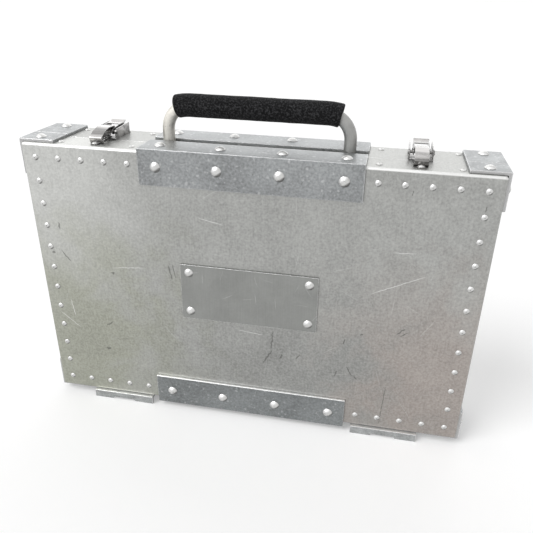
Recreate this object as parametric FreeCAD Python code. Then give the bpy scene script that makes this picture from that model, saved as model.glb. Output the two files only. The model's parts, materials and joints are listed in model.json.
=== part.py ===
import FreeCAD, Part
import math
import os

os.makedirs("parts", exist_ok=True)

# Aluminium sample case: two riveted trays, hinged along the bottom and latched on top.
# Millimetres. The origin is on the floor under the middle of the case.
# +X runs along the case, +Y to the back and +Z up. The lid is the front half and faces -Y.

# Rivet grid of the panels, which sets the size of the case
RIVET_PITCH = 25.4
RIVET_COLUMNS = 19
RIVET_ROWS = 12
PANEL_EDGE = 15.0
EDGE_COLUMNS = 5

# Trays
LID_DEPTH = 34.9
SEAM_GAP = 0.5
SHEET = 1.6
BEND_RADIUS = 3.2

# Extruded angles on the outside
ANGLE_LEG = 38.1
ANGLE_THICKNESS = 3.2
ANGLE_ROOT_RADIUS = 1.2
ANGLE_DEBURR = 0.35
LONG_ANGLE_LENGTH = 228.6
LONG_ANGLE_RIVETS = 4
LONG_ANGLE_PITCH = 63.5
LONG_ANGLE_LEG_RIVET = 13.3
CORNER_SETBACK_FRONT = 4.5
CORNER_SETBACK_BACK = 2.5
CORNER_RIVET_DEPTH = 15.5

# Angles bent from sheet, behind the rivets on the inside
INNER_LEG = 22.2
INNER_THICKNESS = 1.6
INNER_BEND_RADIUS = 2.4
INNER_END_GAP = 1.8
WALL_RIVET_DEPTH = 12.7
TOP_WALL_RIVETS = (126.0, 204.0)
BOTTOM_WALL_RIVETS = (204.0,)
SIDE_WALL_RIVETS = (-76.2, 0.0, 76.2)

# Rivets
SMALL_RIVET = {"head": 3.2, "height": 1.6, "shank": 1.6, "tail": 2.2, "bulge": 3.0, "dimple": 0.9}
PLATE_RIVET = {"head": 5.0, "height": 2.6, "shank": 2.4, "tail": 3.6, "bulge": 2.0, "dimple": 0.0}
LARGE_RIVET = {"head": 5.5, "height": 3.2, "shank": 3.2, "tail": 4.7, "bulge": 2.4, "dimple": 0.0}
HEAD_RIM = 0.3
DIMPLE_DEPTH = 0.5
RIVET_CLEARANCE = 0.1

# Plate in the middle of the lid
NAMEPLATE_WIDTH = 152.4
NAMEPLATE_HEIGHT = 66.7
NAMEPLATE_THICKNESS = 1.6
NAMEPLATE_EDGE = 9.6

# Feet, cut from angle, with the middle of the lower edge relieved
FOOT_X = 161.0
FOOT_LENGTH = 76.2
FOOT_HEIGHT = 10.0
FOOT_THICKNESS = 3.2
FOOT_FLANGE = 19.0
FOOT_PAD = 24.0
FOOT_RELIEF = 2.4
FOOT_RELIEF_RADIUS = 2.0
FOOT_RIVET_SPREAD = 25.0
FOOT_RIVET_DEPTH = 11.0

# Butt hinges under the seam
HINGE_LENGTH = 63.5
HINGE_LEAF = 17.5
HINGE_THICKNESS = 1.4
KNUCKLE_RADIUS = 3.2
KNUCKLE_GAP = 0.4
KNUCKLE_CLEARANCE = 0.4
HINGE_DROP = 0.3
HINGE_PIN_RADIUS = 1.6
HINGE_PIN_FIT = 0.04
HINGE_RIVET_SPREAD = 24.0
HINGE_RIVET_OFFSET = 8.1

# Handle, which stands between the lid's rim and the back angle
ROD_ROOM = 0.3
HANDLE_SPAN = 190.5
HANDLE_RISE = 39.3
HANDLE_BEND_RADIUS = 25.4
HANDLE_ROD_RADIUS = 6.35
GRIP_RADIUS = 11.9
GRIP_LENGTH = 170.0
GRIP_BEND_RADIUS = 62.0
GRIP_BORE_GAP = 0.1
GRIP_END_RADIUS = 1.5
STUD_RADIUS = 4.0
STUD_CLEARANCE = 0.2
STUD_PROUD = 1.6
SPREADER_LENGTH = 220.0
SPREADER_WIDTH = 22.0
SPREADER_THICKNESS = 3.2
SPREADER_RIM_GAP = 0.3
WASHER_RADIUS = 5.6
WASHER_THICKNESS = 1.2
NUT_ACROSS_FLATS = 11.0
NUT_THICKNESS = 6.0
NUT_FIT = 0.05

# Latches; a place on one is its distance behind the seam and its height above the top
LATCH_X = 165.1
BASE_WIDTH = 24.0
BASE_START = 0.3
BASE_LENGTH = 37.2
BASE_METAL = 1.2
BASE_RIVETS = (8.2, 29.5)
EAR_SETBACK = 1.2
EAR_LENGTH = 34.0
EAR_FRONT_HEIGHT = 10.7
EAR_BACK_HEIGHT = 12.0
EAR_NOSE_RADIUS = 4.0
LEVER_PIVOT = (4.6, 7.6)
LEVER_CRANK = 7.0
LEVER_WIDTH = 16.0
LEVER_METAL = 1.0
LEVER_HUB_RADIUS = 3.0
LEVER_TOP = 12.4
LEVER_PLATE = (22.5, 32.5)
LEVER_HEEL = (31.0, 7.4)
LEVER_LIP = (36.0, 13.6)
LEVER_LIP_BEND = 3.0
PIVOT_PIN_RADIUS = 1.5
CLAW_PIN_RADIUS = 1.2
PIN_FIT = 0.05
PIN_RIM = 0.9
PIN_HEAD = 0.8
CLAW_WIDTH = 13.4
CLAW_METAL = 1.0
CLAW_EYE_RADIUS = 2.2
CLAW_HEEL = (10.6, 12.1)
CLAW_HUMP = (-2.5, 13.2)
CLAW_SHOULDER = (-12.6, 10.8)
CLAW_NOSE = (-21.9, 6.4)
CLAW_TIP = (-20.8, 2.4)
CLAW_BEND = 1.2
CATCH_GAP = 0.3
KEEPER_WIDTH = 14.3
KEEPER_METAL = 1.2
KEEPER_START = 3.5
KEEPER_BEND = 1.2
KEEPER_LIP_HEIGHT = 3.5
KEEPER_SLIT = 0.4
TONGUE_WIDTH = 8.0
TONGUE_LENGTH = 7.4
TONGUE_RIVET = 4.2
TONGUE_CORNER_RADIUS = 3.2
KEEPER_BACK_RIVET = 8.2

# Planes and places worked out from the sizes above
case_width = (RIVET_COLUMNS - 1) * RIVET_PITCH + 2 * PANEL_EDGE
case_height = (RIVET_ROWS - 1) * RIVET_PITCH + 2 * PANEL_EDGE
body_depth = 2 * (ROD_ROOM + HANDLE_ROD_RADIUS) - SEAM_GAP + ANGLE_LEG - ANGLE_THICKNESS
case_depth = LID_DEPTH + SEAM_GAP + body_depth
side = case_width / 2
front = -case_depth / 2
back = case_depth / 2
lid_rim = front + LID_DEPTH
body_rim = lid_rim + SEAM_GAP
seam = (lid_rim + body_rim) / 2
handle_y = lid_rim + ROD_ROOM + HANDLE_ROD_RADIUS
bottom = FOOT_HEIGHT
top = bottom + case_height
middle = (bottom + top) / 2
hinge_z = bottom - HINGE_DROP - KNUCKLE_RADIUS
claw_pin = (LEVER_PIVOT[0] + LEVER_CRANK, LEVER_PIVOT[1])
catch = CLAW_TIP[0] + CLAW_METAL / 2 + CATCH_GAP
stud_end = top - SHEET - SPREADER_THICKNESS - WASHER_THICKNESS - NUT_THICKNESS - STUD_PROUD

X = FreeCAD.Vector(1, 0, 0)
Y = FreeCAD.Vector(0, 1, 0)
Z = FreeCAD.Vector(0, 0, 1)
TINY = 1e-6
SIDES = (("left", -1), ("right", 1))


def vec(x, y, z):
    return FreeCAD.Vector(x, y, z)


def save(name, *solids):
    """Write one node: one solid, or a group of separate solids."""
    shape = solids[0] if len(solids) == 1 else Part.makeCompound(list(solids))
    shape.exportStep(f"parts/{name}.step")


def block(x0, x1, y0, y1, z0, z1):
    return Part.makeBox(abs(x1 - x0), abs(y1 - y0), z1 - z0, vec(min(x0, x1), min(y0, y1), z0))


def rod(start, end, radius):
    return Part.makeCylinder(radius, (end - start).Length, start, end - start)


def outline(points):
    """A closed wire. A pair in place of a point is an arc's middle and its end."""
    edges = []
    here = points[0]
    for step in points[1:] + [points[0]]:
        if isinstance(step, tuple):
            edges.append(Part.Arc(here, step[0], step[1]).toShape())
            here = step[1]
        elif (step - here).Length > TINY:
            edges.append(Part.LineSegment(here, step).toShape())
            here = step
    return Part.Wire(edges)


def rounded_path(points, radius):
    """Straight runs through the points, joined by tangent arcs."""
    edges = []
    here = points[0]
    for before, corner, after in zip(points, points[1:], points[2:]):
        along = (corner - before).normalize()
        away = (after - corner).normalize()
        inward = (away - along).normalize()
        half = along.getAngle(away) / 2
        reach = radius * math.tan(half)
        nearest = corner + inward * (radius / math.cos(half) - radius)
        edges.append(Part.LineSegment(here, corner - along * reach).toShape())
        here = corner + away * reach
        edges.append(Part.Arc(corner - along * reach, nearest, here).toShape())
    edges.append(Part.LineSegment(here, points[-1]).toShape())
    return Part.Wire(edges)


def strip(points, bend, width, thickness):
    """Sheet bent along a line of (y, z) points, centred on X."""
    line = [vec(0, y, z) for y, z in points]
    across = X * (width / 2)
    normal = X.cross((line[1] - line[0]).normalize()) * (thickness / 2)
    corners = [across + normal, across - normal, -across - normal, -across + normal]
    section = outline([line[0] + corner for corner in corners])
    return rounded_path(line, bend).makePipe(Part.Face(section))


def along_x(points, x0, x1):
    """A solid with an outline of (y, z) points, from x0 to x1. A pair of points is an arc."""
    ring = []
    for point in points:
        if isinstance(point[0], tuple):
            ring.append(tuple(vec(x0, y, z) for y, z in point))
        else:
            ring.append(vec(x0, *point))
    return Part.Face(outline(ring)).extrude(X * (x1 - x0))


def edges_on_line(shape, point, direction):
    """The straight edges that lie on a line."""
    found = []
    for edge in shape.Edges:
        offsets = [(vertex.Point - point).cross(direction).Length for vertex in edge.Vertexes]
        if max(offsets) < TINY * direction.Length:
            found.append(edge)
    return found


def disc(spot, normal, radius, bore=0):
    """A round face square to normal, with a bore if one is given."""
    wires = [Part.Wire(Part.makeCircle(r, spot, normal)) for r in (radius, bore) if r]
    return Part.Face(wires)


class Rivet:
    """A rivet, given by its size, the spot under its head, the way its head points, and its grip."""

    def __init__(self, size, spot, out, grip):
        self.size = size
        self.spot = spot
        self.out = out
        self.grip = grip

    def solid(self):
        """The set rivet: a domed head, a shank and a bulged tail, turned about its axis."""
        size = self.size
        rise = size["height"] - HEAD_RIM
        dome = (size["head"] ** 2 + rise ** 2) / (2 * rise)

        def on_dome(radius):
            return vec(radius, 0, size["height"] - dome + math.sqrt(dome ** 2 - radius ** 2))

        dimple = size["dimple"]
        points = [on_dome(dimple)]
        if dimple:
            floor = on_dome(dimple).z - DIMPLE_DEPTH
            points = [vec(0, 0, floor), vec(dimple, 0, floor), on_dome(dimple)]
        tail_end = -self.grip - size["bulge"]
        lead = (size["tail"] - size["shank"]) / 2
        points += [
            (on_dome((dimple + size["head"]) / 2), on_dome(size["head"])),
            vec(size["head"], 0, 0),
            vec(size["shank"], 0, 0),
            vec(size["shank"], 0, -self.grip),
            vec(size["tail"], 0, -self.grip),
            vec(size["tail"], 0, tail_end + lead),
            vec(size["tail"] - lead, 0, tail_end),
            vec(0, 0, tail_end),
        ]
        turned = Part.Face(outline(points)).revolve(vec(0, 0, 0), Z, 360)
        turned.Placement = FreeCAD.Placement(self.spot, FreeCAD.Rotation(Z, self.out))
        return turned

    def hole(self):
        radius = self.size["shank"] + RIVET_CLEARANCE
        return rod(self.spot + self.out, self.spot - self.out * (self.grip + 1), radius)


def drilled(shape, rivets):
    """Cut the hole of each rivet that reaches the shape."""
    holes = [rivet.hole() for rivet in rivets]
    return shape.cut([hole for hole in holes if hole.BoundBox.intersect(shape.BoundBox)])


def angle_blank(corner, first, second, run, legs, thickness):
    reach, drop = legs
    corners = [(0, 0), (reach, 0), (reach, thickness), (thickness, thickness), (thickness, drop), (0, drop)]
    return Part.Face(outline([corner + first * a + second * b for a, b in corners])).extrude(run)


def outer_angle(corner, first, second, run, first_leg=ANGLE_LEG):
    """An extruded angle with its outer edge from corner along run, and its legs along first and second."""
    bar = angle_blank(corner, first, second, run, (first_leg, ANGLE_LEG), ANGLE_THICKNESS)
    root = edges_on_line(bar, corner + (first + second) * ANGLE_THICKNESS, run)
    bar = bar.makeFillet(ANGLE_ROOT_RADIUS, root)
    return bar.makeChamfer(ANGLE_DEBURR, [edge for edge in bar.Edges if not bounds_fillet(bar, edge)])


def bounds_fillet(shape, edge):
    """Whether an edge bounds a curved face."""
    faces = shape.ancestorsOfType(edge, Part.Face)
    return any(not isinstance(face.Surface, Part.Plane) for face in faces)


def inner_angle(corner, first, second, run):
    """An angle bent from sheet."""
    bar = angle_blank(corner, first, second, run, (INNER_LEG, INNER_LEG), INNER_THICKNESS)
    root = edges_on_line(bar, corner + (first + second) * INNER_THICKNESS, run)
    bar = bar.makeFillet(INNER_BEND_RADIUS - INNER_THICKNESS, root)
    return bar.makeFillet(INNER_BEND_RADIUS, edges_on_line(bar, corner, run))


class Half:
    """The lid or the body: a tray with its panel at face, its rim at the seam, and its rivets."""

    def __init__(self, name, label, face, rim, wall_leg, corner_setback):
        self.name = name
        self.label = label
        self.face = face
        self.rim = rim
        self.inward = 1 if rim > face else -1
        self.wall_leg = wall_leg
        self.corner_setback = corner_setback
        self.small = self.panel_rivets() + self.wall_rivets() + self.foot_rivets() + self.hinge_rivets()
        self.large = self.long_angle_rivets() + self.corner_rivets()
        self.plate = []

    def depth(self, distance):
        """The y of a place at some distance in from the panel's face."""
        return self.face + self.inward * distance

    def covers(self, y):
        """Whether a place on the top wall lies over the inner angle."""
        return abs(y - self.face) < SHEET + INNER_LEG

    def panel_rivets(self):
        """The rivets round the edge of the panel, left out where the long angles go."""
        rivets = []
        plain = range(EDGE_COLUMNS, RIVET_COLUMNS - EDGE_COLUMNS)
        for column in range(RIVET_COLUMNS):
            for row in range(RIVET_ROWS):
                on_side = column in (0, RIVET_COLUMNS - 1)
                on_end = row in (0, RIVET_ROWS - 1) and column not in plain
                if on_side or on_end:
                    x = -side + PANEL_EDGE + column * RIVET_PITCH
                    z = bottom + PANEL_EDGE + row * RIVET_PITCH
                    spot = vec(x, self.face, z)
                    rivets.append(Rivet(SMALL_RIVET, spot, -Y * self.inward, SHEET + INNER_THICKNESS))
        return rivets

    def wall_rivets(self):
        """The rivets through the four walls and the inner angles."""
        y = self.depth(WALL_RIVET_DEPTH)
        spots = []
        for _, sign in SIDES:
            spots += [(vec(sign * x, y, top), Z) for x in TOP_WALL_RIVETS]
            spots += [(vec(sign * x, y, bottom), -Z) for x in BOTTOM_WALL_RIVETS]
            spots += [(vec(sign * side, y, middle + z), X * sign) for z in SIDE_WALL_RIVETS]
        return [Rivet(SMALL_RIVET, spot, out, SHEET + INNER_THICKNESS) for spot, out in spots]

    def foot_rivets(self):
        y = self.depth(FOOT_RIVET_DEPTH)
        grip = FOOT_THICKNESS + SHEET + INNER_THICKNESS
        spread = (-FOOT_RIVET_SPREAD, FOOT_RIVET_SPREAD)
        places = [sign * FOOT_X + shift for _, sign in SIDES for shift in spread]
        return [Rivet(SMALL_RIVET, vec(x, y, bottom - FOOT_THICKNESS), -Z, grip) for x in places]

    def hinge_rivets(self):
        y = seam - self.inward * HINGE_RIVET_OFFSET
        spread = (-HINGE_RIVET_SPREAD, 0, HINGE_RIVET_SPREAD)
        places = [sign * FOOT_X + shift for _, sign in SIDES for shift in spread]
        grip = HINGE_THICKNESS + SHEET
        return [Rivet(SMALL_RIVET, vec(x, y, bottom - HINGE_THICKNESS), -Z, grip) for x in places]

    def long_angle_rivets(self):
        """The rivets of the two long angles: a row through the panel and a row through the wall."""
        face = self.depth(-ANGLE_THICKNESS)
        y = self.depth(LONG_ANGLE_LEG_RIVET)
        grip = ANGLE_THICKNESS + SHEET + INNER_THICKNESS
        rivets = []
        for place in range(LONG_ANGLE_RIVETS):
            x = (place - (LONG_ANGLE_RIVETS - 1) / 2) * LONG_ANGLE_PITCH
            for z in (bottom + PANEL_EDGE, top - PANEL_EDGE):
                rivets.append(Rivet(LARGE_RIVET, vec(x, face, z), -Y * self.inward, grip))
            rivets.append(Rivet(LARGE_RIVET, vec(x, y, top + ANGLE_THICKNESS), Z, grip))
            rivets.append(Rivet(LARGE_RIVET, vec(x, y, bottom - ANGLE_THICKNESS), -Z, grip))
        return rivets

    def corner_rivets(self):
        """One rivet in the middle of each leg of each corner angle."""
        y = self.depth(CORNER_RIVET_DEPTH)
        inset = ANGLE_LEG / 2 - ANGLE_THICKNESS
        outer = side + ANGLE_THICKNESS
        rivets = []
        for _, sign in SIDES:
            for level, out in ((top, 1), (bottom, -1)):
                end = vec(sign * (side - inset), y, level + out * ANGLE_THICKNESS)
                flank = vec(sign * outer, y, level - out * inset)
                rivets.append(Rivet(LARGE_RIVET, end, Z * out, ANGLE_THICKNESS + SHEET + INNER_THICKNESS))
                rivets.append(Rivet(LARGE_RIVET, flank, X * sign, ANGLE_THICKNESS + SHEET))
        return rivets

    def finish(self, shape):
        """Drill a piece for the rivets of this half."""
        return drilled(shape, self.small + self.large + self.plate)

    def rounded_box(self, inset, radius):
        """A block inset from the tray's outside, with every edge rounded but those at the rim."""
        face = self.depth(inset)
        rim = self.rim + self.inward * inset
        box = block(-side + inset, side - inset, face, rim, bottom + inset, top - inset)
        inside = [edge for edge in box.Edges if min(abs(v.Y - face) for v in edge.Vertexes) < TINY]
        return box.makeFillet(radius, inside)

    def tray(self):
        """The folded sheet, with its hollow open at the rim."""
        return self.rounded_box(0, BEND_RADIUS).cut(self.rounded_box(SHEET, BEND_RADIUS - SHEET))

    def inner_angles(self):
        """The four angles inside the folds; the side ones stand between the other two."""
        y = self.depth(SHEET)
        long_run = 2 * (side - SHEET - INNER_END_GAP)
        reach = SHEET + INNER_LEG + INNER_END_GAP
        short_run = case_height - 2 * reach
        for name, z, up in (("top", top - SHEET, -Z), ("bottom", bottom + SHEET, Z)):
            bar = inner_angle(vec(-long_run / 2, y, z), Y * self.inward, up, X * long_run)
            save(f"{self.name}_inner_angle_{name}", self.finish(bar))
        for name, sign in SIDES:
            start = vec(sign * (side - SHEET), y, bottom + reach)
            bar = inner_angle(start, -X * sign, Y * self.inward, Z * short_run)
            save(f"{self.name}_inner_angle_{name}", self.finish(bar))

    def long_angles(self):
        """The angles over the middle of the top and bottom folds."""
        y = self.depth(-ANGLE_THICKNESS)
        run = X * LONG_ANGLE_LENGTH
        for name, z, up in (("top", top, 1), ("bottom", bottom, -1)):
            corner = vec(-LONG_ANGLE_LENGTH / 2, y, z + up * ANGLE_THICKNESS)
            bar = outer_angle(corner, Y * self.inward, -Z * up, run, self.wall_leg)
            save(f"{self.label}_{name}_angle", self.finish(bar))

    def corner_angles(self):
        """The angles over the four corners, from the rim to just short of the panel."""
        start = self.depth(self.corner_setback)
        run = Y * (self.rim - start)
        for level, z, up in (("top", top, 1), ("bottom", bottom, -1)):
            for name, sign in SIDES:
                corner = vec(sign * (side + ANGLE_THICKNESS), start, z + up * ANGLE_THICKNESS)
                bar = outer_angle(corner, -X * sign, -Z * up, run)
                save(f"{self.name}_corner_angle_{level}_{name}", self.finish(bar))

    def feet(self):
        """Short angles under the panel's edge, standing on a pad at each end."""
        y = self.depth(-FOOT_THICKNESS)
        for name, sign in SIDES:
            start = sign * FOOT_X - FOOT_LENGTH / 2
            end = start + FOOT_LENGTH
            flange = block(start, end, y, y + self.inward * FOOT_FLANGE, bottom - FOOT_THICKNESS, bottom)
            web = block(start, end, y, self.face, 0, bottom)
            relief = block(start + FOOT_PAD, end - FOOT_PAD, y - self.inward, self.depth(1), -1, FOOT_RELIEF)
            relief = relief.makeFillet(FOOT_RELIEF_RADIUS, [edge for edge in relief.Edges if is_relief_corner(edge)])
            foot = flange.fuse(web.cut(relief)).removeSplitter()
            save(f"foot_{self.label}_{name}", self.finish(foot))

    def hinge_leaves(self):
        """A plate under the wall with its share of the knuckles; the body has the outer two."""
        third = HINGE_LENGTH / 3
        away = -self.inward
        for name, sign in SIDES:
            start = sign * FOOT_X - HINGE_LENGTH / 2
            ends = [start + third * i for i in range(4)]
            middle_share = [(ends[1] + KNUCKLE_GAP / 2, ends[2] - KNUCKLE_GAP / 2)]
            outer_share = [(ends[0], ends[1] - KNUCKLE_GAP / 2), (ends[2] + KNUCKLE_GAP / 2, ends[3])]
            own, other = (middle_share, outer_share) if self.name == "lid" else (outer_share, middle_share)
            leaf = block(start, ends[3], seam + away * SEAM_GAP, seam + away * HINGE_LEAF,
                         bottom - HINGE_THICKNESS, bottom)
            for low, high in other:
                leaf = leaf.cut(hinge_line(low - KNUCKLE_GAP, high + KNUCKLE_GAP, KNUCKLE_RADIUS + KNUCKLE_CLEARANCE))
            for low, high in own:
                leaf = leaf.fuse(hinge_line(low, high, KNUCKLE_RADIUS))
            leaf = leaf.cut(hinge_line(start - 1, ends[3] + 1, HINGE_PIN_RADIUS + HINGE_PIN_FIT))
            save(f"hinge_leaf_{self.name}_{name}", self.finish(leaf.removeSplitter()))


def hinge_line(start, end, radius):
    """A round bar on the hinge axis."""
    return rod(vec(start, seam, hinge_z), vec(end, seam, hinge_z), radius)


def hinge_pin(x):
    """A pin through the knuckles, headed at both ends."""
    start, end = x - HINGE_LENGTH / 2, x + HINGE_LENGTH / 2
    pin = hinge_line(start - PIN_HEAD, end + PIN_HEAD, HINGE_PIN_RADIUS)
    pin = pin.fuse(hinge_line(start - PIN_HEAD, start, HINGE_PIN_RADIUS + PIN_RIM))
    return pin.fuse(hinge_line(end, end + PIN_HEAD, HINGE_PIN_RADIUS + PIN_RIM)).removeSplitter()


def is_relief_corner(edge):
    """Whether an edge crosses a foot at the top of its relief."""
    first, last = edge.Vertexes
    return abs(first.Z - FOOT_RELIEF) + abs(last.Z - FOOT_RELIEF) + abs(first.X - last.X) < TINY


def nameplate():
    return block(-NAMEPLATE_WIDTH / 2, NAMEPLATE_WIDTH / 2, front - NAMEPLATE_THICKNESS, front,
                 middle - NAMEPLATE_HEIGHT / 2, middle + NAMEPLATE_HEIGHT / 2)


def nameplate_rivets():
    """One rivet near each corner of the plate."""
    reach_x = NAMEPLATE_WIDTH / 2 - NAMEPLATE_EDGE
    reach_z = NAMEPLATE_HEIGHT / 2 - NAMEPLATE_EDGE
    y = front - NAMEPLATE_THICKNESS
    spots = [vec(sx * reach_x, y, middle + sz * reach_z) for sx in (-1, 1) for sz in (-1, 1)]
    return [Rivet(PLATE_RIVET, spot, -Y, NAMEPLATE_THICKNESS + SHEET) for spot in spots]


def on_latch(place):
    """The (y, z) of a place, or of a pair of places, given behind the seam and above the top."""
    if isinstance(place[0], tuple):
        return tuple(on_latch(one) for one in place)
    return (seam + place[0], top + place[1])


def latch_rivets(half, place, metal):
    """The rivets at one place on both latches."""
    y = seam + place
    grip = metal + SHEET + (INNER_THICKNESS if half.covers(y) else 0)
    return [Rivet(SMALL_RIVET, vec(sign * LATCH_X, y, top + metal), Z, grip) for _, sign in SIDES]


def latch_line(x, place, half_length, radius):
    """A round bar across a latch, centred on x."""
    y, z = on_latch(place)
    return rod(vec(x - half_length, y, z), vec(x + half_length, y, z), radius)


def headed_pin(x, place, half_length, radius):
    """A pin across a latch, with a flat head on each end."""
    pin = latch_line(x, place, half_length + PIN_HEAD, radius)
    y, z = on_latch(place)
    for _, sign in SIDES:
        start = vec(x + sign * half_length, y, z)
        pin = pin.fuse(rod(start, start + X * sign * PIN_HEAD, radius + PIN_RIM))
    return pin.removeSplitter()


def latch_base(x):
    """A channel on the body whose two ears hold the lever's pin."""
    start = BASE_START + EAR_SETBACK
    end = start + EAR_LENGTH
    nose = EAR_NOSE_RADIUS * (1 - math.sqrt(0.5))
    profile = [
        (start, 0),
        (start, EAR_FRONT_HEIGHT - EAR_NOSE_RADIUS),
        ((start + nose, EAR_FRONT_HEIGHT - nose), (start + EAR_NOSE_RADIUS, EAR_FRONT_HEIGHT)),
        (end, EAR_BACK_HEIGHT),
        (end, 0),
    ]
    profile = [on_latch(point) for point in profile]
    half = BASE_WIDTH / 2
    near, far = seam + BASE_START, seam + BASE_START + BASE_LENGTH
    base = block(x - half, x + half, near, far, top, top + BASE_METAL)
    base = base.fuse(along_x(profile, x - half, x - half + BASE_METAL))
    base = base.fuse(along_x(profile, x + half - BASE_METAL, x + half))
    return base.cut(latch_line(x, LEVER_PIVOT, BASE_WIDTH, PIVOT_PIN_RADIUS + PIN_FIT)).removeSplitter()


def latch_lever(x):
    """Two cheeks on the lever's pin, joined at the back by a plate with a raised lip."""
    pivot_y, pivot_z = LEVER_PIVOT
    hub = LEVER_HUB_RADIUS
    profile = [
        (pivot_y, pivot_z - hub),
        ((pivot_y - hub, pivot_z), (pivot_y, pivot_z + hub)),
        (LEVER_PLATE[0], LEVER_TOP),
        (LEVER_PLATE[1], LEVER_TOP),
        LEVER_HEEL,
    ]
    profile = [on_latch(point) for point in profile]
    half = LEVER_WIDTH / 2
    level = LEVER_TOP - LEVER_METAL / 2
    plate = [(LEVER_PLATE[0], level), (LEVER_PLATE[1], level), LEVER_LIP]
    lever = strip([on_latch(point) for point in plate], LEVER_LIP_BEND, LEVER_WIDTH, LEVER_METAL)
    lever.translate(X * x)
    lever = lever.fuse(along_x(profile, x - half, x - half + LEVER_METAL))
    lever = lever.fuse(along_x(profile, x + half - LEVER_METAL, x + half))
    lever = lever.cut(latch_line(x, LEVER_PIVOT, LEVER_WIDTH, PIVOT_PIN_RADIUS + PIN_FIT))
    return lever.cut(latch_line(x, claw_pin, LEVER_WIDTH, CLAW_PIN_RADIUS + PIN_FIT)).removeSplitter()


def latch_claw(x):
    """A bent strip from an eye in the lever, over the lever's pin, to a hook in front of the keeper."""
    rim = CLAW_EYE_RADIUS - CLAW_METAL / 2
    line = [(claw_pin[0] + rim, claw_pin[1]), CLAW_HEEL, CLAW_HUMP, CLAW_SHOULDER, CLAW_NOSE, CLAW_TIP]
    claw = strip([on_latch(point) for point in line], CLAW_BEND, CLAW_WIDTH, CLAW_METAL)
    claw.translate(X * x)
    claw = claw.fuse(latch_line(x, claw_pin, CLAW_WIDTH / 2, CLAW_EYE_RADIUS))
    return claw.cut(latch_line(x, claw_pin, CLAW_WIDTH, CLAW_PIN_RADIUS + PIN_FIT)).removeSplitter()


def latch_keeper(x):
    """A plate on the lid with two raised lips, and a tongue between them."""
    lip = catch + KEEPER_METAL / 2
    level = KEEPER_METAL / 2
    line = [(-KEEPER_START, level), (lip, level), (lip, KEEPER_LIP_HEIGHT)]
    plate = strip([on_latch(point) for point in line], KEEPER_BEND, KEEPER_WIDTH, KEEPER_METAL)
    plate.translate(X * x)
    slot_end = seam + lip + KEEPER_BEND + KEEPER_METAL
    half = TONGUE_WIDTH / 2
    slot = block(x - half - KEEPER_SLIT, x + half + KEEPER_SLIT, seam + catch - 1, slot_end,
                 top - 1, top + KEEPER_LIP_HEIGHT + 1)
    tongue = block(x - half, x + half, seam + catch - TONGUE_LENGTH, slot_end + 1, top, top + KEEPER_METAL)
    tongue = tongue.makeFillet(TONGUE_CORNER_RADIUS, [edge for edge in tongue.Edges if is_tongue_corner(edge)])
    return plate.cut(slot).fuse(tongue).removeSplitter()


def is_tongue_corner(edge):
    """Whether an edge is upright and at the tip of the tongue."""
    first, last = edge.Vertexes
    return abs(first.Z - last.Z) > TINY and first.Y < seam + catch


def handle_line(radius, turn):
    """The straight top of the handle with a bend at each end, as edges; turn is in degrees."""
    half = HANDLE_SPAN / 2 - HANDLE_BEND_RADIUS
    centre = top + HANDLE_RISE - radius

    def on_bend(sign, degrees):
        angle = math.radians(degrees)
        return vec(sign * (half + radius * math.sin(angle)), handle_y, centre + radius * math.cos(angle))

    left = Part.Arc(on_bend(-1, turn), on_bend(-1, turn / 2), on_bend(-1, 0)).toShape()
    run = Part.LineSegment(on_bend(-1, 0), on_bend(1, 0)).toShape()
    right = Part.Arc(on_bend(1, 0), on_bend(1, turn / 2), on_bend(1, turn)).toShape()
    return [left, run, right]


def handle_rod():
    """A round bar bent twice, shouldered on the case, with a stud at each end."""
    half = HANDLE_SPAN / 2
    knee = top + HANDLE_RISE - HANDLE_BEND_RADIUS
    left = Part.LineSegment(vec(-half, handle_y, top), vec(-half, handle_y, knee)).toShape()
    right = Part.LineSegment(vec(half, handle_y, knee), vec(half, handle_y, top)).toShape()
    path = Part.Wire([left] + handle_line(HANDLE_BEND_RADIUS, 90) + [right])
    bar = path.makePipe(disc(vec(-half, handle_y, top), Z, HANDLE_ROD_RADIUS))
    for _, sign in SIDES:
        x = sign * half
        bar = bar.fuse(rod(vec(x, handle_y, stud_end), vec(x, handle_y, top + 1), STUD_RADIUS))
    return bar.removeSplitter()


def handle_grip():
    """A foam sleeve pushed a little way over both bends of the rod, which droops less than they do."""
    over_bend = GRIP_LENGTH / 2 - (HANDLE_SPAN / 2 - HANDLE_BEND_RADIUS)
    droop = math.degrees(math.asin(over_bend / GRIP_BEND_RADIUS))
    sleeve = swept(handle_line(GRIP_BEND_RADIUS, droop), GRIP_RADIUS)
    sleeve = sleeve.makeFillet(GRIP_END_RADIUS, [edge for edge in sleeve.Edges if is_grip_end(edge)])
    return sleeve.cut(swept(handle_line(HANDLE_BEND_RADIUS, 90), HANDLE_ROD_RADIUS + GRIP_BORE_GAP))


def swept(edges, radius):
    """A round bar along the edges."""
    start = edges[0].valueAt(edges[0].FirstParameter)
    normal = edges[0].tangentAt(edges[0].FirstParameter)
    return Part.Wire(edges).makePipe(disc(start, normal, radius))


def is_grip_end(edge):
    """Whether an edge is the circle round one of the grip's ends."""
    curve = edge.Curve
    return isinstance(curve, Part.Circle) and abs(curve.Center.x) > HANDLE_SPAN / 2 - HANDLE_BEND_RADIUS + 1


def stud_place(sign):
    return vec(sign * HANDLE_SPAN / 2, handle_y, top - SHEET)


def stud_hole(sign):
    """The hole for one of the handle's studs, through the wall and the spreader."""
    depth = SHEET + SPREADER_THICKNESS + 1
    place = stud_place(sign)
    return rod(place + Z * depth, place - Z * depth, STUD_RADIUS + STUD_CLEARANCE)


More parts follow.
